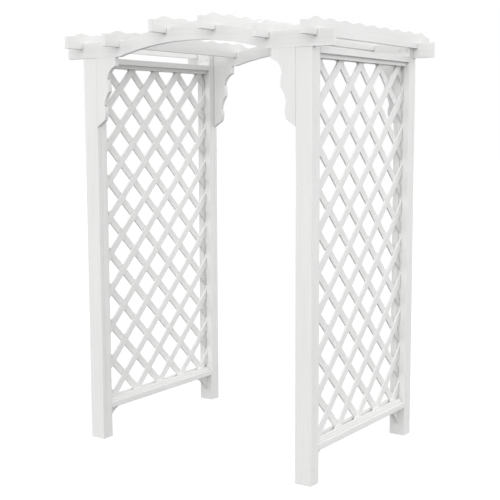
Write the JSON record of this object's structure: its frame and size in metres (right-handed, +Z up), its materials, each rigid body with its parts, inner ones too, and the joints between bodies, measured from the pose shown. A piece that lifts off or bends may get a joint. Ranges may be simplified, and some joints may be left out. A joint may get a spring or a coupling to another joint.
{
  "type": "garden arbor",
  "caption": "White timber garden arbor: posts with lattice sides, arched headers on scalloped brackets, and wavy rafters across the top.",
  "frame": {"origin": "centre of the footprint, on the ground", "axes": "+X along the headers, +Y from the front to the back, +Z up"},
  "size_m": [1.613, 1.25, 2.2073],
  "materials": {
    "white_paint": "satin white paint on planed timber",
    "fastener_coat": "white-coated steel",
    "bare_timber": "plain planed timber, hidden in the joints"
  },
  "bodies": {
    "root": {"bottom_rail_left": "white_paint", "bottom_rail_right": "white_paint", "bottom_strip_inner_left": "white_paint", "bottom_strip_inner_right": "white_paint", "bottom_strip_outer_left": "white_paint", "bottom_strip_outer_right": "white_paint", "bracket_back_left": "white_paint", "bracket_back_right": "white_paint", "bracket_front_left": "white_paint", "bracket_front_right": "white_paint", "bracket_screws": "fastener_coat", "bracket_tongues": "bare_timber", "gusset_back_left": "white_paint", "gusset_back_right": "white_paint", "gusset_front_left": "white_paint", "gusset_front_right": "white_paint", "header_back": "white_paint", "header_front": "white_paint", "header_lag_screws": "fastener_coat", "lattice_falling_left": "white_paint", "lattice_falling_right": "white_paint", "lattice_rising_left": "white_paint", "lattice_rising_right": "white_paint", "post_back_left": "white_paint", "post_back_right": "white_paint", "post_face_back_left": "white_paint", "post_face_back_right": "white_paint", "post_face_front_left": "white_paint", "post_face_front_right": "white_paint", "post_front_left": "white_paint", "post_front_right": "white_paint", "rafter_1_outer_left": "white_paint", "rafter_2_middle_left": "white_paint", "rafter_3_inner_left": "white_paint", "rafter_4_inner_right": "white_paint", "rafter_5_middle_right": "white_paint", "rafter_6_outer_right": "white_paint", "top_rail_left": "white_paint", "top_rail_right": "white_paint", "top_strip_inner_left": "white_paint", "top_strip_inner_right": "white_paint", "top_strip_outer_left": "white_paint", "top_strip_outer_right": "white_paint"}
  },
  "joints": []
}
